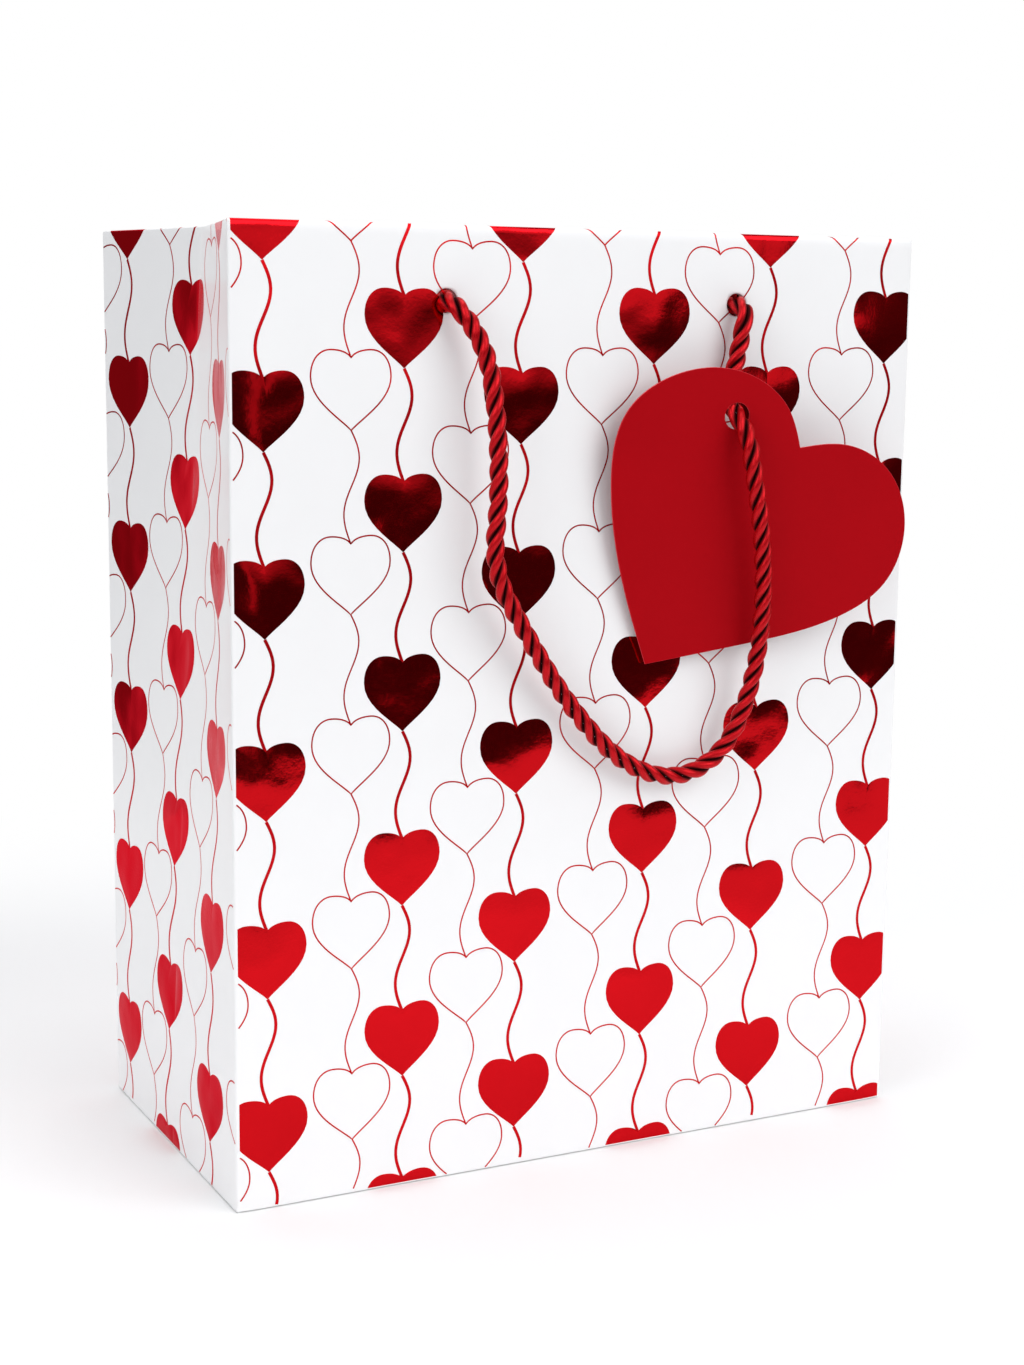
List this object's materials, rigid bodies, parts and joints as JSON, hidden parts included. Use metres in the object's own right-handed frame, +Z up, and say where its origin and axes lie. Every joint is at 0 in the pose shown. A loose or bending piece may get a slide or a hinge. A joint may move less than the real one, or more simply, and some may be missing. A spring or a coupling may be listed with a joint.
{
  "type": "gift bag",
  "caption": "White laminated paper gift bag with side gussets, red foil heart print, twisted red rope handles, a heart-shaped tag and a loose bottom board.",
  "frame": {"origin": "middle of the base, on the surface that the bag stands on", "axes": "+X across the front to the viewer's right, +Y from front to back, +Z up; the front panel faces -Y"},
  "size_m": [0.183, 0.1224, 0.227],
  "materials": {
    "printed_paper": "satin laminated art paper, red foil print",
    "plain_paper": "uncoated inner side of the paper",
    "card_strip": "uncoated",
    "base_board": "uncoated, white faced",
    "handle_cord": "satin twisted cord",
    "tag_card": "matte red card"
  },
  "bodies": {
    "bag": {"front_panel": "printed_paper", "back_panel": "printed_paper", "left_gusset_front": "printed_paper", "left_gusset_rear": "printed_paper", "right_gusset_front": "printed_paper", "right_gusset_rear": "printed_paper", "side_seam_flap": "plain_paper", "front_hem": "plain_paper", "back_hem": "plain_paper", "left_hem": "plain_paper", "right_hem": "plain_paper", "front_bottom_flap": "plain_paper", "back_bottom_flap": "plain_paper", "left_bottom_flap": "plain_paper", "right_bottom_flap": "plain_paper", "front_top_card": "card_strip", "back_top_card": "card_strip", "front_left_rope_end": "handle_cord", "front_right_rope_end": "handle_cord", "back_left_rope_end": "handle_cord", "back_right_rope_end": "handle_cord", "front_left_knot": "handle_cord", "front_right_knot": "handle_cord", "back_left_knot": "handle_cord", "back_right_knot": "handle_cord"},
    "front_handle": {"front_rope": "handle_cord"},
    "back_handle": {"back_rope": "handle_cord"},
    "tag": {"heart_tag": "tag_card"},
    "board": {"bottom_board": "base_board"}
  },
  "joints": [
    {"name": "front_handle_swing", "type": "hinge", "parent": "bag", "child": "front_handle", "pos_m": [0, -0.052, 0.21], "axis": [-1, 0, 0], "range_deg": [0, 155]},
    {"name": "back_handle_swing", "type": "hinge", "parent": "bag", "child": "back_handle", "pos_m": [0, 0.052, 0.21], "axis": [1, 0, 0], "range_deg": [0, 155]},
    {"name": "tag_swing", "type": "hinge", "parent": "front_handle", "child": "tag", "pos_m": [0.0337, -0.0573, 0.1836], "axis": [-0.1213, -0.9865, -0.1101], "range_deg": [0, 30]},
    {"name": "board_lift", "type": "slide", "parent": "bag", "child": "board", "axis": [0, 0, 1], "range_m": [0, 0.045]}
  ]
}
